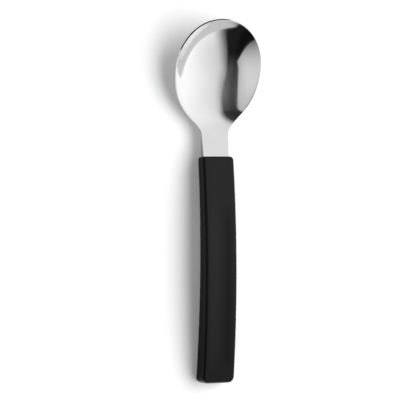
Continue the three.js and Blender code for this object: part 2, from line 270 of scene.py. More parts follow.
def curve_outward(curve, share):
    """Unit vectors square to the curve and away from the bowl: its direction, turned by 90 degrees."""
    rest = 1 - share
    weights = np.stack([3 * rest**2, 6 * rest * share, 3 * share**2], axis=-1)
    along = weights @ np.diff(curve, axis=0)
    along /= np.linalg.norm(along, axis=-1, keepdims=True)
    return np.stack([-along[..., 1], along[..., 0]], axis=-1)


def half_width(y):
    """Half the width at y: the share of the curve whose point has this y, found by halving its range."""
    front = (y > widest)[..., None]
    low, high = np.zeros_like(y), np.ones_like(y)
    for _ in range(HALVINGS):
        middle = (low + high) / 2
        reached = np.where(
            front, curve_points(FRONT_CURVE, middle), curve_points(REAR_CURVE, middle))[..., 1]
        low, high = np.where(reached > y, middle, low), np.where(reached > y, high, middle)
    found = np.where(front, curve_points(FRONT_CURVE, low), curve_points(REAR_CURVE, low))[..., 0]
    return np.where(y <= flare, neck_half - neck_taper * (flare - y), found)


print("half widths at the widest place and the flare:", half_width(np.array([widest, flare])).round(2), "mm")

# %% [markdown]
# ## The bowl's depth
#
# A pressed bowl could be cut from an ellipsoid, but the reflections in a real one show a flatter floor in
# front and a rounder one behind. Here its depth grows with the room q that the outline leaves at a point:
# q is 1 in the middle of the widest place and 0 on the rim. Depth q gives a paraboloid, and a share of
# q (1 - q) on top of it makes the wall steeper. A press also leaves a lip: near the rim the wall lies a
# little flatter again.

# %% Bowl depth
BOWL_DEPTH, FRONT_WALL, REAR_WALL, WALL_CHANGE = 8.65, 0.35, -0.14, 19.5
BOWL_START, BOWL_RUN_IN = 2.4, 14.0
LIP_RISE, LIP_ROOM = 0.9, 0.22


def roominess(x, y):
    """Half width squared less x squared, as a share of the bowl's half width squared."""
    return (half_width(y) ** 2 - x**2) / bowl_half**2


def hollowing(y):
    """0 on the neck, 1 in the bowl, with a smooth run-in between them."""
    return ramp(y, flare - BOWL_START, BOWL_RUN_IN)


def bowl_depth(x, y):
    """Full depth times q (1 + w - w q), where w is the wall's steepness, which changes along the bowl. The
    lip takes off its rise times 1 - exp(-q / lip room), in front of the flare."""
    room = roominess(x, y)
    wall = mix(REAR_WALL, FRONT_WALL, ramp(y, widest - WALL_CHANGE, 2 * WALL_CHANGE))
    lip = LIP_RISE * ramp(y, flare, BOWL_REAR_LENGTH) * (1 - np.exp(-room / LIP_ROOM))
    return hollowing(y) * (BOWL_DEPTH * room * (1 + wall - wall * room) - lip)


middle_depth = bowl_depth(np.zeros(1), np.array([widest]))[0]
print("the bowl is", round(float(middle_depth), 2), "mm deep at its widest place")

# %% [markdown]
# ## The rim's line and the sheet's thickness
#
# The rim's line climbs towards the tip and meets the neck's line in a soft bend, which is one branch of a
# hyperbola. The sheet is thick at the handle and thin at the rim, where the maker rolls it down. Solidify
# could give a sheet one thickness. A formula lets the thickness change, measured square to the sheet.

# %% Upper and lower side
TANG_THICKNESS, NECK_STEP = 1.2, 0.2
RIM_TILT, BEND_SOFTNESS = math.radians(15.5), 0.5
NECK_THICKNESS, BOWL_THICKNESS, RIM_THICKNESS = 2.5, 2.0, 0.8
THINNING_LENGTH = 14.0
rim_height = BOWL_DEPTH + BOWL_THICKNESS


def edge_height(y):
    """The higher of the neck's line and the rim's line, with the corner between them rounded off."""
    neck = blade_middle(y) + TANG_THICKNESS / 2 + NECK_STEP
    rim = rim_height + math.tan(RIM_TILT) * (y - widest)
    return (neck + rim) / 2 + np.hypot((neck - rim) / 2, BEND_SOFTNESS)


def upper_side(x, y):
    """The edge line less the bowl's depth."""
    return edge_height(y) - bowl_depth(x, y)


def sheet_thickness(x, y):
    """Thick at the handle, thinner in the bowl, and rolled down to the rim, where (1 - q) squared is 1."""
    along = mix(NECK_THICKNESS, BOWL_THICKNESS, ramp(y, shoulder, widest - shoulder))
    rolled = ramp(y, shoulder, THINNING_LENGTH) * (1 - roominess(x, y)) ** 2
    return mix(along, RIM_THICKNESS, rolled)


def lower_side(x, y):
    """One thickness under the upper side, measured square to it by its two slopes."""
    inside = np.minimum(y, tip - SLOPE_STEP)
    slope_x = upper_side(x + SLOPE_STEP, inside) - upper_side(x - SLOPE_STEP, inside)
    slope_y = upper_side(x, inside + SLOPE_STEP) - upper_side(x, inside - SLOPE_STEP)
    steepness = np.hypot(slope_x, slope_y) / (2 * SLOPE_STEP)
    return upper_side(x, y) - sheet_thickness(x, y) * np.hypot(1.0, steepness)


print("the rim line starts", round(rim_height, 2), "mm above the table")

# %% [markdown]
# ## Setting the bowl down
#
# The bowl's lowest point has to touch the table. Where it lies depends on the height of the rim's line, so
# the line is moved by the gap that is left, a few times over, until nothing changes any more.

# %% Settled height
SETTLING_ROUNDS, SETTLING_PLACES = 6, 200

for _ in range(SETTLING_ROUNDS):
    places = np.linspace(flare, tip, SETTLING_PLACES, endpoint=False)
    rim_height -= lower_side(np.zeros_like(places), places).min()
print("the rim's height at the widest place is", round(float(rim_height), 2), "mm")

# %% [markdown]
# ## Half a section of the blade
#
# A section starts on the middle line of the upper side, runs out to the edge, down the edge and back
# underneath. A press cuts the edge square to the sheet, so that it leans where the sheet slopes, and the mop
# breaks its corners only a little. A Bevel would round both corners alike. A straight cut that leans a
# little more at the tip gives the thin dark line that the edge shows there.

# %% Section of the blade
CUT_SOFTNESS, CUT_LEAN = 0.12, 0.35
TOP_COLUMNS, EDGE_COLUMNS, UNDER_COLUMNS = 72, 12, 48


def half_section(outer, outward, inner, upper, lower, edge_width, lower_edge):
    """Rows of half sections. On top the points go in equal steps from inner to the start of the edge. The
    edge is a straight cut of plan width edge_width, with a small hyperbola at its start. A quarter circle of
    size lower_edge stands on the lower side, and equal steps lead back to inner."""
    angle = np.linspace(0.0, math.pi / 2, EDGE_COLUMNS)
    over = np.linspace(0.0, 1.0, TOP_COLUMNS, endpoint=False)
    under = np.linspace(0.0, 1.0, UNDER_COLUMNS, endpoint=False)[::-1]

    def at(inset):
        return outer[:, None, :] - outward[:, None, :] * inset[..., None]

    def with_height(plan, height):
        return np.concatenate([plan, height[..., None]], axis=-1)

    def across(inset, shares, side):
        plan = mix(inner[:, None, :], at(inset), shares[None, :, None])
        return with_height(plan, side(plan[..., 0], plan[..., 1]))

    top = across(edge_width, over, upper)
    plan = at(edge_width * (1 - np.sin(angle)))
    softened = np.hypot(np.sin(angle), CUT_SOFTNESS) - CUT_SOFTNESS
    cut_drop = (upper(*outer.T) - lower(*outer.T))[:, None] - lower_edge
    rim = with_height(plan, upper(plan[..., 0], plan[..., 1]) - cut_drop * softened / softened[-1])
    angle = angle[::-1]
    plan = at(lower_edge * (1 - np.sin(angle)))
    foot = with_height(plan, lower(plan[..., 0], plan[..., 1]) + lower_edge * (1 - np.cos(angle)))
    bottom = across(lower_edge, under, lower)
    return np.concatenate([top, rim, foot, bottom], axis=1)


def cut_width(outer, outward):
    """Plan width of an edge cut square to the sheet: t l s / (1 + l s^2), where t is the upright thickness
    and s the sheet's slope. The lean l is 1, and a little more where the edge faces the tip."""
    inside = outer - outward * SLOPE_STEP
    slope = (upper_side(*outer.T) - upper_side(*inside.T)) / SLOPE_STEP
    lean = 1 + CUT_LEAN * np.maximum(outward[:, 1], 0.0) ** 3
    return (upper_side(*outer.T) - lower_side(*outer.T)) * lean * slope / (1 + lean * slope**2)


tip_cut = cut_width(np.array([[0.0, tip]]), np.array([[0.0, 1.0]]))[0]
print("the cut edge is", round(float(tip_cut), 2), "mm wide from above at the tip")

# %% [markdown]
# ## The blade's rows of sections
#
# In front of the widest place the sections fan out from one point, so that they meet the round rim squarely.
# Behind it they lie square to the spoon. The neck ends in a step down to the tang, and the tang's last row
# shrinks to one point. The gap between neck and handle that the solids need is closed here, because steel
# and plastic touch.

# %% Rows of the blade
RIM_EDGE, TANG_EDGE, TANG_WIDTH, TOUCH = 0.1, 0.15, 9.0, 0.02
FRONT_ROWS, REAR_ROWS, NECK_ROWS, TANG_ROWS = 96, 96, 24, 24


def straight_rows(half, places):
    """Outline points, outward directions and inner points of sections square to the spoon."""
    zero, one = np.zeros_like(places), np.ones_like(places)
    return np.stack([half * one, places], -1), np.stack([one, zero], -1), np.stack([zero, places], -1)


def bowl_rows():
    """Sections of the bowl and the neck, from the tip to the handle."""
    share_front = np.linspace(0.0, 1.0, FRONT_ROWS, endpoint=False)
    front, front_out = curve_points(FRONT_CURVE, share_front), curve_outward(FRONT_CURVE, share_front)
    hub = np.broadcast_to([0.0, widest], front.shape)
    share_rear = np.linspace(0.0, 1.0, REAR_ROWS, endpoint=False)
    rear, rear_out = curve_points(REAR_CURVE, share_rear), curve_outward(REAR_CURVE, share_rear)
    places = np.linspace(flare, HANDLE_LENGTH + TOUCH, NECK_ROWS)
    neck, neck_out, neck_in = straight_rows(half_width(places), places)
    outer = np.concatenate([front, rear, neck])
    outward = np.concatenate([front_out, rear_out, neck_out])
    inner = np.concatenate([hub, rear * [0.0, 1.0], neck_in])
    edge = np.maximum(RIM_EDGE, cut_width(outer, outward))[:, None]
    return half_section(outer, outward, inner, upper_side, lower_side, edge, np.full_like(edge, RIM_EDGE))


def tang_rows():
    """Sections of a flat bar along the tang's line, and a last row in one point that closes its end."""
    places = np.linspace(HANDLE_LENGTH + TOUCH, tang_end, TANG_ROWS)
    edge = np.full((TANG_ROWS, 1), TANG_EDGE)
    bar = half_section(*straight_rows(TANG_WIDTH / 2, places),
                       lambda x, y: blade_middle(y) + TANG_THICKNESS / 2,
                       lambda x, y: blade_middle(y) - TANG_THICKNESS / 2, edge, edge)
    end = np.broadcast_to([0.0, tang_end, blade_middle(tang_end)], bar[:1].shape)
    return np.concatenate([bar, end])


right = np.concatenate([bowl_rows(), tang_rows()])
rows, columns = right.shape[:2]
print("half the blade is a grid of", rows, "by", columns, "points")

# %% [markdown]
# ## The blade
#
# One half is worked out, and the other is its mirror image. A Mirror modifier would do the same, but arrays
# can be welded straight away. The cut edge of the neck looks ground and not mopped, so the points of that
# edge are marked for that finish. The mark also carries painted shade: a greyer colour for the shadowed
# table that the edge mirrors. The mark fades into the flare.

# %% Blade
GROUND_FADE = 4.0
left = right * [-1.0, 1.0, 1.0]
both = np.concatenate([right.reshape(-1, 3), left.reshape(-1, 3)])
faces = grid_faces(rows, columns, closed=False)
both_faces = np.concatenate([faces[:, ::-1], faces + rows * columns])
on_edge = np.zeros(columns)
on_edge[TOP_COLUMNS + 1:TOP_COLUMNS + 2 * EDGE_COLUMNS] = 1.0
# the marked edge gets ground roughness and a greyer colour, which is painted shade
ground = (on_edge * (1 - ramp(right[..., 1], flare, GROUND_FADE))).ravel()
blade = mesh_piece("polished_blade", both, both_faces, ground_edge=np.tile(ground, 2))
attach(blade, "root")
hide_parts("spoon_blade")

# %% [markdown]
# ## The handle's section
#
# The handle is moulded in one piece: a rounded bar with a shallow scoop for the thumb along its top. Its
# section is a rounded rectangle of four flats and four quarter circles. A cube with a Bevel would give the
# bar, but not the scoop, whose depth changes across and along the top, so the section is a formula too.

# %% Section of the handle
HANDLE_WIDTH = 16.3
SCOOP_DEPTH, SCOOP_SIDE_MARGIN = 0.6, 1.6
SCOOP_FRONT_MARGIN, SCOOP_FRONT_FADE = 18.0, 16.0
SCOOP_REAR_MARGIN, SCOOP_REAR_FADE = 5.0, 8.0
FLAT_COLUMNS, SIDE_COLUMNS, CORNER_COLUMNS = 72, 14, 10


def scoop_depth(x, y):
    """Full depth times (1 - (x / half)^2)^2 across, faded out towards the front and the rear."""
    half = HANDLE_WIDTH / 2 - SCOOP_SIDE_MARGIN
    across = np.maximum(0.0, 1 - (x / half) ** 2) ** 2
    from_front = ramp(HANDLE_LENGTH - y, SCOOP_FRONT_MARGIN, SCOOP_FRONT_FADE)
    from_rear = ramp(y, SCOOP_REAR_MARGIN, SCOOP_REAR_FADE)
    return SCOOP_DEPTH * across * from_front * from_rear


def rounded_rectangle(y, half_wide, half_thick, radius, middle, scoop):
    """Rows of closed sections. Each goes along the top from -X to +X, down the side, back under the bottom
    and up again. Four quarter circles of the given radius join its flats, and scoop times the scoop's depth
    is taken off the top."""
    y, half_wide, half_thick, radius, middle, scoop = (
        np.broadcast_to(np.asarray(value, float).reshape(-1, 1), (np.size(y), 1))
        for value in (y, half_wide, half_thick, radius, middle, scoop))
    wide, thick = half_wide - radius, half_thick - radius
    across = np.linspace(-1.0, 1.0, FLAT_COLUMNS)[None, :]
    upright = np.linspace(1.0, -1.0, SIDE_COLUMNS)[None, :]
    turn = np.linspace(0.0, math.pi / 2, CORNER_COLUMNS)[None, 1:-1]
    sine, cosine = radius * np.sin(turn), radius * np.cos(turn)
    ones = np.ones_like(upright)
    top = half_thick - scoop * scoop_depth(wide * across, y)
    x = [wide * across, wide + sine, half_wide * ones, wide + cosine,
         -wide * across, -wide - sine, -half_wide * ones, -wide - cosine]
    z = [top, thick + cosine, thick * upright, -thick - sine,
         -half_thick * np.ones_like(across), -thick - cosine, -thick * upright, thick + sine]
    x, z = np.concatenate(x, axis=1), middle + np.concatenate(z, axis=1)
    return np.stack([x, np.broadcast_to(y, x.shape), z], axis=-1)


print("the scoop is", round(float(scoop_depth(0.0, HANDLE_LENGTH / 2)), 2), "mm deep in the middle")

# %% [markdown]
# ## The handle's rows of sections
#
# The section is carried along a path. It starts in one point on the rear face, grows over the rear rounding,
# runs along the bow, draws in at the front face and turns back into the pocket, where it closes in a point
# again. The pocket leaves room for the adhesive, but its mouth fits the tang alone, so the neck hides it.

# %% Rows of the handle
HANDLE_EDGE, HANDLE_FRONT_EDGE, LEAST_EDGE = 1.1, 0.9, 0.3
FRONT_CORNER, REAR_CORNER = 1.7, 3.0
MOUTH_LENGTH, MOUTH_MARGIN, POCKET_MARGIN, POCKET_EDGE = 1.7, 0.05, 0.9, 0.2
ROUNDING_ROWS, LENGTH_ROWS, MOUTH_ROWS, POCKET_ROWS = 24, 180, 4, 24


def drawn_in(distance, radius):
    """How far a quarter-circle rounding draws a side in, at a distance from the end face."""
    room = np.clip(radius - distance, 0.0, radius)
    return radius - np.sqrt(radius**2 - room**2)


def outside_rows():
    """A point on the rear face, then sections round its edge, along the bow and over the front edge."""
    start = 1 - np.cos(np.linspace(0.0, math.pi / 2, ROUNDING_ROWS))
    along = np.linspace(REAR_CORNER, HANDLE_LENGTH - FRONT_CORNER, LENGTH_ROWS)[1:-1]
    y = np.concatenate([REAR_CORNER * start, along, HANDLE_LENGTH - FRONT_CORNER * start[::-1]])
    narrower = drawn_in(y, REAR_CORNER) + drawn_in(HANDLE_LENGTH - y, FRONT_CORNER)
    thinner = drawn_in(y, HANDLE_REAR_EDGE) + drawn_in(HANDLE_LENGTH - y, HANDLE_FRONT_EDGE)
    radius = np.maximum(HANDLE_EDGE - thinner, LEAST_EDGE)
    rings = rounded_rectangle(y, HANDLE_WIDTH / 2 - narrower, handle_thickness(y) / 2 - thinner,
                              radius, handle_middle(y), 1.0)
    return np.concatenate([np.broadcast_to([0.0, 0.0, handle_middle(0.0)], rings[:1].shape), rings])


def pocket_rows():
    """Sections of the mouth and of the pocket behind it, and a last row in one point."""
    mouth_end = HANDLE_LENGTH - MOUTH_LENGTH
    places = np.concatenate([np.linspace(HANDLE_LENGTH, mouth_end, MOUTH_ROWS),
                             np.linspace(mouth_end, tang_end - POCKET_MARGIN, POCKET_ROWS)])
    margin = np.repeat([MOUTH_MARGIN, POCKET_MARGIN], [MOUTH_ROWS, POCKET_ROWS])
    rings = rounded_rectangle(places, TANG_WIDTH / 2 + margin, TANG_THICKNESS / 2 + margin,
                              POCKET_EDGE, tang_middle(places), 0.0)
    end = np.broadcast_to([0.0, places[-1], tang_middle(places[-1])], rings[:1].shape)
    return np.concatenate([rings, end])


sections = np.concatenate([outside_rows(), pocket_rows()])
faces = grid_faces(*sections.shape[:2], closed=True)
grip = mesh_piece("moulded_handle", sections.reshape(-1, 3), faces)
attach(grip, "root")
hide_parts("handle")

# %% [markdown]
# ## Material helpers
#
# Colours are written as the sRGB values that a colour picker shows, and a shader wants linear light, so one
# function turns one into the other. One more adds a node, sets its properties and fills its inputs: an input
# that is given an output of another node is linked, and any other value is set on the socket.

# %% Node helpers


def linear(hex_colour):
    """sRGB hex to linear RGBA: c / 12.92 in the shadows, ((c + 0.055) / 1.055) to the power 2.4 above."""
    values = np.array([int(hex_colour[i:i + 2], 16) for i in (1, 3, 5)]) / 255
    low, high = values / 12.92, ((values + 0.055) / 1.055) ** 2.4
    return (*np.where(values <= 0.04045, low, high).tolist(), 1.0)


def add_node(tree, kind, settings=None, inputs=None):
    """Adds a node to a tree, with properties by name and inputs by name or number."""
    node = tree.nodes.new(kind)
    for name, value in (settings or {}).items():
        setattr(node, name, value)
    for name, value in (inputs or {}).items():
        if isinstance(value, bpy.types.NodeSocket):
            tree.links.new(value, node.inputs[name])
        else:
            node.inputs[name].default_value = value
    return node


def new_material(name):
    """An empty material, its node tree, and the mesh's own coordinates in metres."""
    material = bpy.data.materials.new(name)
    material.use_nodes = True
    tree = material.node_tree
    tree.nodes.clear()
    return material, tree, add_node(tree, "ShaderNodeTexCoord").outputs["Object"]


def waves_per_metre(size_mm):
    """The scale of a noise whose spots are about size_mm across."""
    return 1.0 / (size_mm * METRES_PER_MM)


print("the middle grey #808080 is", round(linear("#808080")[0], 3), "in linear light")

# %% [markdown]
# ## Stainless steel, mirror polished
#
# Table spoons are pressed from stainless sheet and polished on soft mops until they mirror the room. The mop
# leaves a faint haze, which is uneven, and very shallow waves. The haze is a slow change in roughness. The
# waves are too shallow to see as shape, so a weak bump bends the reflections a little. The marked edge of
# the neck gets the roughness of steel that is ground and not polished, so it blurs what it mirrors. Its
# greyer colour is painted shade, for the shadowed table that the edge mirrors.

# %% Steel
STEEL_LIGHT, STEEL_DARK = "#dfdfe0", "#d7d7d8"
HAZE_MM, WAVE_MM, WAVE_HEIGHT_MM = 9.0, 6.0, 0.002
HAZE_LEAST, HAZE_MOST = 0.05, 0.1
# the greyer colour of the marked edge is painted shade; its roughness is that of ground steel
GROUND_SHADE_COLOUR, GROUND_ROUGHNESS = "#9c9c9e", 0.3


def mirror_polished_steel():
    """Metal whose colour and roughness follow a soft noise, over a bump of long shallow waves. Where the
    blade is marked, the roughness changes to that of ground steel and the colour to a greyer one, as painted
    shade."""
    material, tree, place = new_material("stainless_steel_mirror_polished")
    haze = add_node(tree, "ShaderNodeTexNoise", inputs={
        "Vector": place, "Scale": waves_per_metre(HAZE_MM), "Detail": 3.0}).outputs["Fac"]
    colour = add_node(tree, "ShaderNodeMix", {"data_type": "RGBA"}, {
        "Factor": haze, 6: linear(STEEL_DARK), 7: linear(STEEL_LIGHT)}).outputs[2]
    rough = add_node(tree, "ShaderNodeMapRange", inputs={
        "Value": haze, "To Min": HAZE_LEAST, "To Max": HAZE_MOST}).outputs["Result"]
    ground = add_node(tree, "ShaderNodeAttribute", {"attribute_name": "ground_edge"}).outputs["Fac"]
    # painted shade: the marked edge turns greyer, for the shadowed table it mirrors
    colour = add_node(tree, "ShaderNodeMix", {"data_type": "RGBA"}, {
        "Factor": ground, 6: colour, 7: linear(GROUND_SHADE_COLOUR)}).outputs[2]
    rough = add_node(tree, "ShaderNodeMix", {"data_type": "FLOAT"}, {
        0: ground, 2: rough, 3: GROUND_ROUGHNESS}).outputs[0]
    waves = add_node(tree, "ShaderNodeTexNoise", inputs={
        "Vector": place, "Scale": waves_per_metre(WAVE_MM), "Detail": 1.0}).outputs["Fac"]
    bump = add_node(tree, "ShaderNodeBump", inputs={
        "Height": waves, "Strength": 1.0, "Distance": WAVE_HEIGHT_MM * METRES_PER_MM}).outputs["Normal"]
    shader = add_node(tree, "ShaderNodeBsdfPrincipled", inputs={
        "Base Color": colour, "Metallic": 1.0, "Roughness": rough, "Normal": bump})
    add_node(tree, "ShaderNodeOutputMaterial", inputs={"Surface": shader.outputs["BSDF"]})
    return material


blade.data.materials.append(mirror_polished_steel())
print("steel haze runs from roughness", HAZE_LEAST, "to", HAZE_MOST)

# %% [markdown]
# ## Black plastic, moulded with a satin grain
#
# The handle is moulded in a dishwasher-proof plastic with black pigment. Tools for such handles are often
# spark eroded, which leaves a fine even grain, so the plastic looks satin: a soft sheen and no mirror. Such
# a grain is about a tenth of a millimetre. It is drawn coarser here, because the picture shows half
# a millimetre in each pixel. The sheen changes by place, which paints shade: it is lower towards the rear
# and near the sides, so these look darker.

# %% Plastic
PLASTIC_LIGHT, PLASTIC_DARK = "#0c0c0d", "#08080a"
GRAIN_MM, GRAIN_HEIGHT_MM, FLOW_MM = 0.5, 0.012, 14.0
PLASTIC_IOR, PLASTIC_SHEEN, SATIN_LEAST, SATIN_MOST = 1.5, 0.25, 0.26, 0.32
# painted shade: the sheen drops near the sides and towards the rear
SIDE_SHEEN, SIDE_SHADE_START_MM, SIDE_SHADE_FULL_MM = 0.18, 0.85, 0.45
REAR_SHEEN, REAR_SHADE_START_MM, REAR_SHADE_FULL_MM = 0.6, -85.0, -15.0


def satin_black_plastic():
    """A dielectric over a nearly black colour, with a fine grain in its bump. Its sheen drops over the last
    part of the way to each side, and rises along the frame's Y from the rear to the front: both are painted
    shade."""
    material, tree, place = new_material("black_plastic_moulded_satin")
    flow = add_node(tree, "ShaderNodeTexNoise", inputs={
        "Vector": place, "Scale": waves_per_metre(FLOW_MM), "Detail": 2.0}).outputs["Fac"]
    colour = add_node(tree, "ShaderNodeMix", {"data_type": "RGBA"}, {
        "Factor": flow, 6: linear(PLASTIC_DARK), 7: linear(PLASTIC_LIGHT)}).outputs[2]
    rough = add_node(tree, "ShaderNodeMapRange", inputs={
        "Value": flow, "To Min": SATIN_LEAST, "To Max": SATIN_MOST}).outputs["Result"]
    grain = add_node(tree, "ShaderNodeTexNoise", inputs={
        "Vector": place, "Scale": waves_per_metre(GRAIN_MM), "Detail": 2.0}).outputs["Fac"]
    bump = add_node(tree, "ShaderNodeBump", inputs={
        "Height": grain, "Strength": 1.0, "Distance": GRAIN_HEIGHT_MM * METRES_PER_MM}).outputs["Normal"]
    parts = add_node(tree, "ShaderNodeSeparateXYZ", inputs={0: place}).outputs
    from_middle = add_node(tree, "ShaderNodeMath", {"operation": "ABSOLUTE"}, {0: parts["X"]}).outputs[0]
    # painted shade near each side: less sheen
    side = add_node(tree, "ShaderNodeMapRange", inputs={
        "Value": from_middle, "From Min": (HANDLE_WIDTH / 2 - SIDE_SHADE_START_MM) * METRES_PER_MM,
        "From Max": (HANDLE_WIDTH / 2 - SIDE_SHADE_FULL_MM) * METRES_PER_MM,
        "To Min": PLASTIC_SHEEN, "To Max": PLASTIC_SHEEN * SIDE_SHEEN}).outputs["Result"]
    # painted shade towards the rear: less sheen
    painted_rear_shade = add_node(tree, "ShaderNodeMapRange", inputs={
        "Value": parts["Y"], "From Min": REAR_SHADE_START_MM * METRES_PER_MM,
        "From Max": REAR_SHADE_FULL_MM * METRES_PER_MM, "To Min": REAR_SHEEN}).outputs["Result"]
    sheen = add_node(tree, "ShaderNodeMath", {"operation": "MULTIPLY"}, {0: side, 1: painted_rear_shade}).outputs[0]
    shader = add_node(tree, "ShaderNodeBsdfPrincipled", inputs={
        "Base Color": colour, "Roughness": rough, "IOR": PLASTIC_IOR,
        "Specular IOR Level": sheen, "Normal": bump})
    add_node(tree, "ShaderNodeOutputMaterial", inputs={"Surface": shader.outputs["BSDF"]})
    return material


grip.data.materials.append(satin_black_plastic())
print("plastic grain is drawn", GRAIN_MM, "mm wide")

# %% [markdown]
# ## Epoxy around the tang
#
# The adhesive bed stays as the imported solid, because its shape is right and the handle hides it. Filled
# epoxy cures to a cloudy straw colour, so it gets a mottled colour and a slightly uneven gloss.

# %% Epoxy
EPOXY_LIGHT, EPOXY_DARK = "#c9bb98", "#a8987a"
CLOUD_MM, EPOXY_IOR = 2.5, 1.55
EPOXY_LEAST, EPOXY_MOST = 0.35, 0.5


def cured_epoxy():
    """A dielectric whose colour and roughness follow one cloudy noise."""
    material, tree, place = new_material("epoxy_cured_filled")
    cloud = add_node(tree, "ShaderNodeTexNoise", inputs={
        "Vector": place, "Scale": waves_per_metre(CLOUD_MM), "Detail": 4.0}).outputs["Fac"]
    colour = add_node(tree, "ShaderNodeMix", {"data_type": "RGBA"}, {
        "Factor": cloud, 6: linear(EPOXY_DARK), 7: linear(EPOXY_LIGHT)}).outputs[2]
    rough = add_node(tree, "ShaderNodeMapRange", inputs={
        "Value": cloud, "To Min": EPOXY_LEAST, "To Max": EPOXY_MOST}).outputs["Result"]
    shader = add_node(tree, "ShaderNodeBsdfPrincipled", inputs={
        "Base Color": colour, "Roughness": rough, "IOR": EPOXY_IOR})
    add_node(tree, "ShaderNodeOutputMaterial", inputs={"Surface": shader.outputs["BSDF"]})
    return material


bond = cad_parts["tang_bond"]
bond.data.materials.clear()
bond.data.materials.append(cured_epoxy())
print("the adhesive keeps its packed solid of", len(bond.data.polygons), "faces")

# %% [markdown]
# ## The table
#
# The spoon lies on a plain white board. It is matt, so it takes a soft shadow and shows no mirror image.
# Far to the right, outside the picture, the board's colour fades to grey, which paints the dimmer light
# there. The bowl's left wall mirrors that part, and it would look burnt out beside a board that is white all
# over.

# %% Floor
FLOOR_HALF_MM, BOARD_MM = 4000.0, 40.0
# the grey that the board fades to far to the right is painted shade, for the dimmer light there
BOARD_LIGHT, BOARD_DARK, BOARD_SHADE = "#f4f4f4", "#f1f1f1", "#d6d6d6"
BOARD_SHADE_START_MM, BOARD_SHADE_END_MM = 90.0, 330.0


def white_board():
    """A rough white surface whose colour changes very slightly over a few centimetres, and fades to grey
    along X as painted shade."""
    material, tree, place = new_material("white_board_matt")
    tone = add_node(tree, "ShaderNodeTexNoise", inputs={
        "Vector": place, "Scale": waves_per_metre(BOARD_MM), "Detail": 2.0}).outputs["Fac"]
    colour = add_node(tree, "ShaderNodeMix", {"data_type": "RGBA"}, {
        "Factor": tone, 6: linear(BOARD_DARK), 7: linear(BOARD_LIGHT)}).outputs[2]
    side = add_node(tree, "ShaderNodeSeparateXYZ", inputs={0: place}).outputs["X"]
    # painted shade: the colour greys along X, far to the right
    far_shade = add_node(tree, "ShaderNodeMapRange", {"interpolation_type": "SMOOTHSTEP"}, {
        "Value": side, "From Min": BOARD_SHADE_START_MM * METRES_PER_MM,
        "From Max": BOARD_SHADE_END_MM * METRES_PER_MM}).outputs["Result"]
    colour = add_node(tree, "ShaderNodeMix", {"data_type": "RGBA"}, {
        "Factor": far_shade, 6: colour, 7: linear(BOARD_SHADE)}).outputs[2]
    shader = add_node(tree, "ShaderNodeBsdfDiffuse", inputs={"Color": colour})
    add_node(tree, "ShaderNodeOutputMaterial", inputs={"Surface": shader.outputs["BSDF"]})
    return material


corners = np.array([[-1.0, -1.0, 0.0], [1.0, -1.0, 0.0], [1.0, 1.0, 0.0], [-1.0, 1.0, 0.0]]) * FLOOR_HALF_MM
board = mesh_piece("board", corners, np.array([[0, 1, 2, 3]]))
board.data.materials.append(white_board())

# %% [markdown]
# ## The studio that the steel mirrors
#
# A mirror shows its surroundings, so the studio matters as much as the steel. It has a white sheet on the
# right, a white card on the left, a dark ceiling between them and a pale low wall. Planes with bright
# materials could stand around the spoon. All of them would be far away compared with its size, so the studio
# is painted on the world instead, as brightness by direction. Two angles tell where a direction lies:
# sideways, from overhead to the right, and lengthways, from overhead to the bowl's end. A border is a plane
# through the spoon, nearly, that parts the directions into a dark and a light side.

# %% Directions
world = bpy.data.worlds.new("studio")
bpy.context.scene.world = world
world.use_nodes = True
sky = world.node_tree
sky.nodes.clear()
direction = add_node(sky, "ShaderNodeTexCoord").outputs["Generated"]
parts = add_node(sky, "ShaderNodeSeparateXYZ", inputs={0: direction}).outputs
sideways = add_node(sky, "ShaderNodeMath", {"operation": "ARCTAN2"}, {
    0: parts["X"], 1: parts["Z"]}).outputs[0]
lengthways = add_node(sky, "ShaderNodeMath", {"operation": "ARCSINE"}, {0: parts["Y"]}).outputs[0]


def border(normal, dark, light):
    """0 where the direction times normal is below dark, 1 above light, and a smooth step between them."""
    reach = add_node(sky, "ShaderNodeVectorMath", {"operation": "DOT_PRODUCT"}, {0: direction, 1: normal})
    return add_node(sky, "ShaderNodeMapRange", {"interpolation_type": "SMOOTHSTEP"}, {
        "Value": reach.outputs["Value"], "From Min": dark, "From Max": light}).outputs["Result"]


def shaded(glow, *shares):
    """A brightness that is multiplied by one share after another, such as borders."""
    for share in shares:
        glow = add_node(sky, "ShaderNodeMath", {"operation": "MULTIPLY"}, {0: glow, 1: share}).outputs[0]
    return glow


print("a direction is read by", len(sky.nodes), "nodes")

# %% [markdown]
# ## The white sheet
#
# The sheet comes down from overhead on the right, and the left part of the bowl, the neck and the top of the
# handle mirror it. It is brighter to the right, and brighter over the spoon than towards the handle's end.
# Its glow fades softly towards overhead and the handle's end. Borders then end it: overhead, towards the
# handle's end, and twice towards the bowl's end.

# %% Sheet
SHEET_START, SHEET_FULL = math.radians(-45.0), math.radians(-15.0)
SHEET_LEAST, SHEET_MOST, SHEET_TONE_PER_RADIAN = 0.85, 1.05, 0.468
FADE_OVERHEAD = ((1.0, 0.0, 0.0), -0.26, 0.34)
FADE_TO_HANDLE = ((0.93, 0.4, 0.25), -0.07, 0.3)
SHEET_BORDERS = [
    ((1.0, 0.0, 0.0), -0.015, 0.01),
    ((0.93, 0.332, 0.152), -0.01, 0.02),
    ((0.971, -0.229, 0.027), -0.085, 0.14),
    ((0.0, -1.0, 0.0), -0.85, -0.75),
]

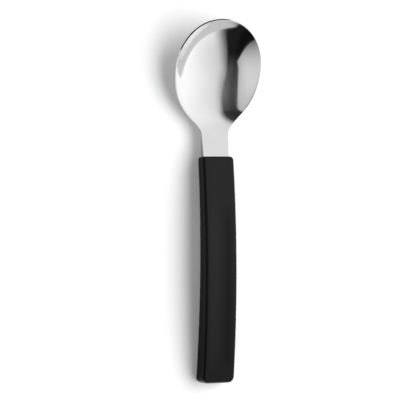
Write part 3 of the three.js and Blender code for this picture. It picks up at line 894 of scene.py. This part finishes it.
sheet_middle = add_node(sky, "ShaderNodeMapRange", {"interpolation_type": "SMOOTHSTEP"}, {
    "Value": lengthways, "From Min": SHEET_START, "From Max": SHEET_FULL,
    "To Min": SHEET_LEAST, "To Max": SHEET_MOST}).outputs["Result"]
sheet_tone = add_node(sky, "ShaderNodeMath", {"operation": "MULTIPLY_ADD"}, {
    0: sideways, 1: SHEET_TONE_PER_RADIAN, 2: sheet_middle}).outputs[0]
fading = add_node(sky, "ShaderNodeMath", {"operation": "MINIMUM"}, {
    0: border(*FADE_OVERHEAD), 1: border(*FADE_TO_HANDLE)}).outputs[0]
sheet_glow = shaded(sheet_tone, fading, *(border(*limits) for limits in SHEET_BORDERS))
print("the sheet ends at", len(SHEET_BORDERS), "borders")

# %% [markdown]
# ## The white card
#
# The card hangs on the left, and the right wall of the bowl mirrors it. Its upper edge is bowed: how far
# a direction lies past the edge is its sideways angle less a parabola of the lengthways angle. A second
# parabola, which starts near the bowl's end, rounds the corner there. The card is a little darker near its
# edge and towards the handle's end, and two borders end it lengthways.

# %% Card
CARD_MIDDLE, CARD_BOW = math.radians(-8.0), 0.75
CORNER_START, CORNER_BOW = math.radians(10.0), 5.0
CARD_OUTSIDE, CARD_INSIDE = math.radians(-20.2), math.radians(-22.2)
SHADE_START, SHADE_END, SHADE_LEAST = math.radians(-21.5), math.radians(-32.0), 0.75
CARD_DIM_START, CARD_DIM_BOW = math.radians(-16.0), 1.55
CARD_BORDERS = [((-0.9425, 0.333, 0.022), 0.005, 0.03), ((0.0, -1.0, 0.0), -0.3, -0.27)]

off_middle = add_node(sky, "ShaderNodeMath", {"operation": "SUBTRACT"}, {
    0: lengthways, 1: CARD_MIDDLE}).outputs[0]
bowed = add_node(sky, "ShaderNodeMath", {"operation": "MULTIPLY_ADD"}, {
    0: shaded(off_middle, off_middle), 1: -CARD_BOW, 2: sideways}).outputs[0]
to_bowl_end = add_node(sky, "ShaderNodeMath", {"operation": "SUBTRACT"}, {
    0: lengthways, 1: CORNER_START}).outputs[0]
in_corner = add_node(sky, "ShaderNodeMath", {"operation": "MAXIMUM"}, {0: to_bowl_end, 1: 0.0}).outputs[0]
past_edge = add_node(sky, "ShaderNodeMath", {"operation": "MULTIPLY_ADD"}, {
    0: shaded(in_corner, in_corner), 1: CORNER_BOW, 2: bowed}).outputs[0]
card_edge = add_node(sky, "ShaderNodeMapRange", {"interpolation_type": "SMOOTHSTEP"}, {
    "Value": past_edge, "From Min": CARD_OUTSIDE, "From Max": CARD_INSIDE}).outputs["Result"]
card_shade = add_node(sky, "ShaderNodeMapRange", inputs={
    "Value": past_edge, "From Min": SHADE_START, "From Max": SHADE_END,
    "To Min": SHADE_LEAST}).outputs["Result"]
to_handle_end = add_node(sky, "ShaderNodeMath", {"operation": "SUBTRACT"}, {
    0: lengthways, 1: CARD_DIM_START}).outputs[0]
dimmed = add_node(sky, "ShaderNodeMath", {"operation": "MINIMUM"}, {0: to_handle_end, 1: 0.0}).outputs[0]
card_tone = add_node(sky, "ShaderNodeMath", {"operation": "MULTIPLY_ADD"}, {
    0: shaded(dimmed, dimmed), 1: -CARD_DIM_BOW, 2: 1.0}).outputs[0]
card_glow = shaded(card_tone, card_shade, card_edge, *(border(*limits) for limits in CARD_BORDERS))
print("the card's edge bows", CARD_BOW, "radians for each squared radian")

# %% [markdown]
# ## The dark ceiling
#
# Between sheet and card the bowl mirrors the ceiling as a dark band. Without it polished steel looks like
# grey paint. It is dark grey over the spoon and darker towards both ends, and paler beside the sheet, which
# lights it. Where the sheet hangs in front of it the brighter of the two counts, and the card is added.

# %% Ceiling
CEILING_LEAST, CEILING_MOST = 0.008, 0.125
CEILING_START, CEILING_FULL = math.radians(-45.0), math.radians(-5.0)
CEILING_FALL, CEILING_END, CEILING_END_SHARE = math.radians(-6.0), math.radians(30.0), 0.2
BESIDE_START, BESIDE_SHARE = math.radians(-12.0), 2.3

ceiling_tone = add_node(sky, "ShaderNodeMapRange", {"interpolation_type": "SMOOTHSTEP"}, {
    "Value": lengthways, "From Min": CEILING_START, "From Max": CEILING_FULL,
    "To Min": CEILING_LEAST, "To Max": CEILING_MOST}).outputs["Result"]
ceiling_end = add_node(sky, "ShaderNodeMapRange", {"interpolation_type": "SMOOTHSTEP"}, {
    "Value": lengthways, "From Min": CEILING_FALL, "From Max": CEILING_END,
    "To Min": 1.0, "To Max": CEILING_END_SHARE}).outputs["Result"]
beside_sheet = add_node(sky, "ShaderNodeMapRange", inputs={
    "Value": sideways, "From Min": BESIDE_START, "From Max": 0.0,
    "To Min": 1.0, "To Max": BESIDE_SHARE}).outputs["Result"]
overhead = add_node(sky, "ShaderNodeMath", {"operation": "MAXIMUM"}, {
    0: sheet_glow, 1: shaded(ceiling_tone, ceiling_end, beside_sheet)}).outputs[0]
upper_glow = add_node(sky, "ShaderNodeMath", {"operation": "ADD"}, {0: overhead, 1: card_glow}).outputs[0]
print("the ceiling is at most", CEILING_MOST * BESIDE_SHARE, "bright")

# %% [markdown]
# ## The low wall
#
# A pale wall stands low behind the handle, and the steep wall at the bowl's tip mirrors it as a crescent.
# Its top reaches about 12 degrees above the table behind the handle and sinks towards the bowl's end.
# Towards the left it ends on a slant. The wall covers whatever is painted behind it, so it is mixed in last.

# %% Wall and world
WALL_BORDERS = [((0.05, -0.2, -1.0), -0.02, 0.004), ((0.55, 0.316, 1.0), -0.032, -0.012)]
WALL_TONE, WALL_TONE_TO_RIGHT = 0.85, 0.15

on_wall = shaded(*(border(*limits) for limits in WALL_BORDERS))
wall_tone = add_node(sky, "ShaderNodeMath", {"operation": "MULTIPLY_ADD"}, {
    0: parts["X"], 1: WALL_TONE_TO_RIGHT, 2: WALL_TONE}).outputs[0]
glow = add_node(sky, "ShaderNodeMix", {"data_type": "FLOAT"}, {
    0: on_wall, 2: upper_glow, 3: wall_tone}).outputs[0]
background = add_node(sky, "ShaderNodeBackground", inputs={"Strength": glow})
add_node(sky, "ShaderNodeOutputWorld", inputs={"Surface": background.outputs[0]})
print("the studio has", len(sky.nodes), "nodes")

# %% [markdown]
# ## The key light
#
# The painted studio gives the reflections, and lamps give the shadow. The key is a large soft lamp on the
# right, so the shadow falls to the left with a wide soft border. It stands for the brightest part of the
# sheet, which the steel mirrors already, so the lamp itself is hidden from reflections.

# %% Key light
LAMP_ELEVATION, LAMP_DISTANCE = math.radians(60.0), 1.2
KEY_TURN, KEY_LENGTH, KEY_WIDTH, KEY_POWER = math.radians(3.0), 2.2, 1.2, 14.5


def soft_lamp(name, turn, length, width, power):
    """An oval lamp that faces the origin. Its turn is counted from +X, round the upright axis."""
    level_reach, height = math.cos(LAMP_ELEVATION), math.sin(LAMP_ELEVATION)
    toward_lamp = Vector((level_reach * math.cos(turn), level_reach * math.sin(turn), height))
    light = bpy.data.lights.new(name, "AREA")
    light.shape, light.size, light.size_y, light.energy = "ELLIPSE", length, width, power
    lamp = bpy.data.objects.new(name, light)
    lamp.location = toward_lamp * LAMP_DISTANCE
    lamp.rotation_euler = toward_lamp.to_track_quat("Z", "Y").to_euler()
    lamp.visible_glossy = False
    bpy.context.scene.collection.objects.link(lamp)
    print("the", name, "light stands at", [round(value, 2) for value in lamp.location])


soft_lamp("key", KEY_TURN, KEY_LENGTH, KEY_WIDTH, KEY_POWER)

# %% [markdown]
# ## The fill light
#
# In a white studio some light comes back from the left. A weak lamp there lifts the shadow's dark core and
# leaves its shape alone.

# %% Fill light
FILL_TURN, FILL_SIZE, FILL_POWER = math.radians(180.0), 1.2, 1.8
soft_lamp("fill", FILL_TURN, FILL_SIZE, FILL_SIZE, FILL_POWER)

# %% [markdown]
# ## The camera
#
# The picture is taken from far above, a quarter of a right angle or so to the left, with a long lens. The
# camera's own axes are built from that tilt and a very small roll, and its lens from the size that a pixel
# covers at the spoon.

# %% Camera
CAMERA_TILT, CAMERA_ROLL = math.radians(25.0), math.radians(0.394)
CAMERA_DISTANCE, PIXEL_MM, PICTURE_PIXELS = 1.3, 0.48, 400
AIM_MM = np.array([-7.25, 0.82, 4.6])

toward = Vector((-math.sin(CAMERA_TILT), 0.0, math.cos(CAMERA_TILT)))
level = Vector((math.cos(CAMERA_TILT), 0.0, math.sin(CAMERA_TILT)))
ahead = Vector((0.0, 1.0, 0.0))
across = level * math.cos(CAMERA_ROLL) - ahead * math.sin(CAMERA_ROLL)
upwards = level * math.sin(CAMERA_ROLL) + ahead * math.cos(CAMERA_ROLL)
lens = bpy.data.cameras.new("camera")
lens.angle = 2 * math.atan(PICTURE_PIXELS / 2 * PIXEL_MM * METRES_PER_MM / CAMERA_DISTANCE)
camera = bpy.data.objects.new("camera", lens)
eye = Vector(AIM_MM * METRES_PER_MM) + toward * CAMERA_DISTANCE
camera.matrix_world = Matrix.Translation(eye) @ Matrix((across, upwards, toward)).transposed().to_4x4()
bpy.context.scene.collection.objects.link(camera)
bpy.context.scene.camera = camera
bpy.context.scene.view_settings.view_transform = "Standard"
print("the lens covers", round(math.degrees(lens.angle), 2), "degrees")
